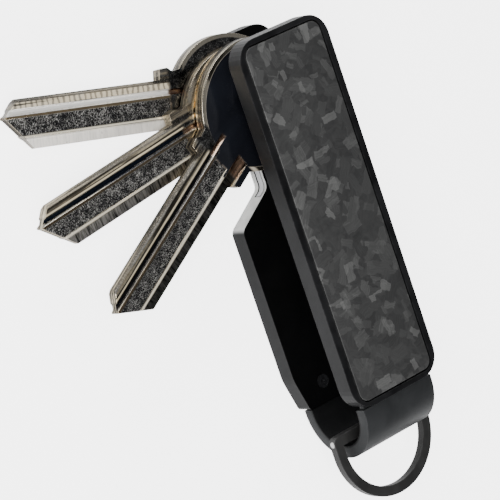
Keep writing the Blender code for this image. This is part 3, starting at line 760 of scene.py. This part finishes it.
class ORGANISER_OT_plates(bpy.types.Operator):
    """Finish both plates: black anodising, with a painted highlight on the thumb notch's walls and painted
    shade inside the gap
    """

    bl_idname = "organiser.plates"
    bl_label = "Plates"

    # Where the thumb notch's walls lie, which get a painted highlight
    NOTCH_FLOOR_X = -1.8 * MM
    NOTCH_LOW_Y = 0.8 * MM
    NOTCH_HIGH_Y = 17.6 * MM

    def execute(self, context):
        colour = tuple(context.scene.organiser_colours.plate)
        for name, node, painted_highlight in (
            ("Black anodising", "front_plate", None),
            ("Black anodising, polished notch", "rear_plate", self.notch_highlight),
        ):
            masks = {"painted_highlight": painted_highlight, "painted_shade": self.gap_shade}
            give(frame["nodes"][node], finishes().anodised(name, colour, 0.42, 0.3, 0.2, **masks))
        return {"FINISHED"}

    def gap_shade(self, graph):
        """Mask of the plates' flat faces that look into the gap between them, where shade is painted."""
        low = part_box("rear_plate")[1][2] - 0.3 * MM
        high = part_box("front_plate")[0][2] + 0.3 * MM
        height = graph.split(graph.position())[2]
        above = graph.math("GREATER_THAN", height, low)
        below = graph.math("LESS_THAN", height, high)
        return graph.product(above, below, graph.range(graph.upright(), 0.9, 0.97))

    def notch_highlight(self, graph):
        """Mask of the notch's sides, where a highlight is painted."""
        x, y, _ = graph.split(graph.position())
        plate_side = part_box("rear_plate")[0][0]
        walls = graph.range(graph.upright(), 0.75, 0.6)
        inward = graph.range(x, plate_side + 0.05 * MM, plate_side + 0.5 * MM)
        outward = graph.range(x, self.NOTCH_FLOOR_X + 0.3 * MM, self.NOTCH_FLOOR_X)
        above = graph.range(y, self.NOTCH_LOW_Y - 0.5 * MM, self.NOTCH_LOW_Y)
        below = graph.range(y, self.NOTCH_HIGH_Y + 0.4 * MM, self.NOTCH_HIGH_Y)
        uneven = graph.range(graph.noise(graph.position(), 500.0, 3.0).outputs[0], 0.3, 0.6, 0.75, 1.0)
        return graph.product(inward, outward, above, below, walls, uneven)


class ORGANISER_OT_inlay(bpy.types.Operator):
    """Make the forged-carbon inlay with its bevelled edge, and finish the film under it"""

    bl_idname = "organiser.inlay"
    bl_label = "Inlay"

    def execute(self, context):
        made = finishes()
        edge = context.scene.organiser_sizes.inlay_edge
        piece = broken_edges("inlay_sheet", "front_inlay", "case", edge, 3)
        give(piece, made.carbon())
        give(frame["nodes"]["adhesive_film"], made.moulded("Adhesive film", (0.25, 0.24, 0.22), 0.7))
        return {"FINISHED"}


class ORGANISER_OT_insert(bpy.types.Operator):
    """Finish the steel insert that shows in the thumb notch"""

    bl_idname = "organiser.insert"
    bl_label = "Insert"

    def execute(self, context):
        give(frame["nodes"]["pivot_insert"], finishes().steel("Insert steel", (0.52, 0.52, 0.53), 0.33, 0.7))
        return {"FINISHED"}


class ORGANISER_OT_bow(bpy.types.Operator):
    """Make the bent strap with its rounded edges, and finish the screws that hold it"""

    bl_idname = "organiser.bow"
    bl_label = "Bow"

    STRAP_THICKNESS = 2.1 * MM

    def execute(self, context):
        made = finishes()
        sizes = context.scene.organiser_sizes
        piece = broken_edges("bow", "bow_strap", "case", sizes.bow_edge, 3, 40.0, 40.0)
        colour = tuple(context.scene.organiser_colours.bow)
        masks = {"painted_shade": self.bend_shade}
        give(piece, made.anodised("Bow coating", colour, 0.46, 0.1, 0.15, 0.3, 0.12, **masks))
        screw_finish = made.steel("Black oxide screws", (0.10, 0.10, 0.105), 0.35)
        for number in range(1, 5):
            node = f"bow_screw_{number}"
            screw = broken_edges(f"strap_{node}", node, "case", sizes.small_edge)
            give(screw, screw_finish)
        return {"FINISHED"}

    def bend_shade(self, graph):
        """Mask of the strap's inner face, where shade is painted."""
        low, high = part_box("bow_strap")
        radius = (high[2] - low[2]) / 2
        inner = radius - self.STRAP_THICKNESS
        _, y, z = graph.split(graph.position())
        outward = graph.math("MINIMUM", graph.math("SUBTRACT", y, low[1] + radius), 0.0)
        upward = graph.math("SUBTRACT", z, (low[2] + high[2]) / 2)
        away = graph.length(outward, upward)
        return graph.range(away, inner + 0.4 * MM, inner + 0.15 * MM, 0.0, 0.85)


class ORGANISER_OT_pivot(bpy.types.Operator):
    """Finish the pivot's post and screw, and the stack above the keys"""

    bl_idname = "organiser.pivot"
    bl_label = "Pivot"

    def execute(self, context):
        made = finishes()
        edge = context.scene.organiser_sizes.small_edge
        bright = made.steel("Turned steel", (0.55, 0.55, 0.56), 0.28, 0.0, 7000.0)
        nylon = made.moulded("Black nylon", (0.022, 0.022, 0.023), 0.5)
        for node, slot, material in (
            ("pivot_post", "steel", bright),
            ("pivot_screw", "steel", bright),
            ("key_washer", "steel", bright),
            ("spacer_1", "black_nylon", nylon),
            ("spacer_2", "black_nylon", nylon),
        ):
            give(broken_edges(f"{node}_finished", node, "case", edge), material)
        return {"FINISHED"}


class ORGANISER_OT_keys(bpy.types.Operator):
    """Make the three keys with broken edges and their milled, high-polish and speckled areas"""

    bl_idname = "organiser.keys"
    bl_label = "Keys"

    def execute(self, context):
        made = finishes()
        edge = context.scene.organiser_sizes.key_edge
        for node, body in KEY_BODIES.items():
            piece = broken_edges(f"{node}_blank", node, body, edge)
            give(piece, KeyFinish(made, f"Nickel silver {node[-1]}", KEY_LAYOUTS[node]).material)
        return {"FINISHED"}


class ORGANISER_OT_ring(bpy.types.Operator):
    """Finish the D-ring"""

    bl_idname = "organiser.ring"
    bl_label = "D-ring"

    def execute(self, context):
        colour = tuple(context.scene.organiser_colours.ring)
        plating = finishes().anodised("Ring plating", colour, 0.42, 0.1, 0.25, 0.5, 0.15, self.ring_highlight)
        give(frame["nodes"]["d_ring"], plating)
        return {"FINISHED"}

    def ring_highlight(self, graph):
        """Mask of the painted highlight at the end of the ring's bar."""
        low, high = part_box("d_ring")
        spot = (low[0], high[1] - 1.1 * MM, (low[2] + high[2]) / 2)
        away = graph.node("ShaderNodeVectorMath", {0: graph.position(), 1: spot}, operation="DISTANCE")
        return graph.range(away.outputs["Value"], 0.60 * MM, 0.38 * MM)


def soft_light(name, place, aim, size, watts):
    lamp = bpy.data.lights.new(name, "AREA")
    lamp.shape = "RECTANGLE"
    lamp.size, lamp.size_y = size
    lamp.energy = watts
    item = bpy.data.objects.new(name, lamp)
    bpy.context.scene.collection.objects.link(item)
    item.location = place
    item.rotation_euler = (Vector(aim) - Vector(place)).to_track_quat("-Z", "Y").to_euler()


class ORGANISER_OT_stage(bpy.types.Operator):
    """Add the floor, the soft lights and the camera"""

    bl_idname = "organiser.stage"
    bl_label = "Stage"

    def execute(self, context):
        self.floor(context)
        self.lights(context)
        self.camera(context)
        return {"FINISHED"}

    def floor(self, context):
        bpy.ops.object.select_all(action="DESELECT")
        bpy.ops.mesh.primitive_plane_add(size=4.0, location=(0, 0, CAD_BOX[0][2] - 0.05 * MM))
        floor = context.object
        floor.name = "floor"
        material = bpy.data.materials.new("Pale floor")
        material.use_nodes = True
        graph = Graph(material.node_tree)
        shader = material.node_tree.nodes["Principled BSDF"]
        colour = tuple(context.scene.organiser_colours.floor)
        cloud = graph.noise(graph.position(), 6.0, 2.0)
        base = graph.mix(cloud.outputs[0], opaque(tuple(c * 0.985 for c in colour)), opaque(colour))
        graph.feed(shader.inputs["Base Color"], base)
        shader.inputs["Roughness"].default_value = 0.9
        shader.inputs["Emission Color"].default_value = (1.0, 1.0, 1.0, 1.0)
        ray = graph.node("ShaderNodeLightPath").outputs["Is Camera Ray"]
        graph.feed(shader.inputs["Emission Strength"], graph.range(ray, 0.0, 1.0, 0.6, 3.6))
        give(floor, material)

    def lights(self, context):
        world = bpy.data.worlds.new("Studio")
        context.scene.world = world
        world.use_nodes = True
        graph = Graph(world.node_tree)
        background = world.node_tree.nodes["Background"]
        ray = graph.node("ShaderNodeLightPath").outputs["Is Camera Ray"]
        dim, pale = opaque((0.20, 0.205, 0.215)), opaque((3.9, 3.9, 3.9))
        graph.feed(background.inputs["Color"], graph.mix(ray, dim, pale))
        soft_light("Top softbox", (-0.45, 0.05, 0.55), (0, 0, 0), (0.5, 0.5), 6.5)
        soft_light("Key-end softbox", (-0.05, 0.65, 0.22), (0, 0, 0.01), (0.6, 0.25), 5.0)
        soft_light("Ring-end softbox", (-0.10, -0.55, 0.30), (0, 0, 0.01), (0.35, 0.25), 3.0)

    def camera(self, context):
        lens = bpy.data.cameras.new("Camera")
        lens.sensor_width = CAMERA_SENSOR
        lens.lens = CAMERA_LENS
        lens.clip_start = 0.01
        camera = bpy.data.objects.new("Camera", lens)
        context.scene.collection.objects.link(camera)
        camera.location = CAMERA_PLACE
        camera.rotation_euler = [math.radians(a) for a in CAMERA_TURN]
        context.scene.camera = camera


GROUPS = (
    ORGANISER_OT_plates,
    ORGANISER_OT_inlay,
    ORGANISER_OT_insert,
    ORGANISER_OT_bow,
    ORGANISER_OT_pivot,
    ORGANISER_OT_keys,
    ORGANISER_OT_ring,
    ORGANISER_OT_stage,
)


class ORGANISER_PT_panel(bpy.types.Panel):
    bl_label = "Key organiser"
    bl_idname = "ORGANISER_PT_panel"
    bl_space_type = "VIEW_3D"
    bl_region_type = "UI"
    bl_category = "Key organiser"

    def draw(self, context):
        for settings in (context.scene.organiser_colours, context.scene.organiser_sizes):
            column = self.layout.column()
            for name in settings.__annotations__:
                column.prop(settings, name)
        for group in GROUPS:
            self.layout.operator(group.bl_idname)


CLASSES = (OrganiserColours, OrganiserSizes, *GROUPS, ORGANISER_PT_panel)


def register():
    for item in CLASSES:
        bpy.utils.register_class(item)
    bpy.types.Scene.organiser_colours = PointerProperty(type=OrganiserColours)
    bpy.types.Scene.organiser_sizes = PointerProperty(type=OrganiserSizes)


def unregister():
    del bpy.types.Scene.organiser_sizes
    del bpy.types.Scene.organiser_colours
    for item in reversed(CLASSES):
        bpy.utils.unregister_class(item)


def main():
    register()
    for group in GROUPS:
        category, action = group.bl_idname.split(".")
        getattr(getattr(bpy.ops, category), action)()


if __name__ == "__main__":
    main()
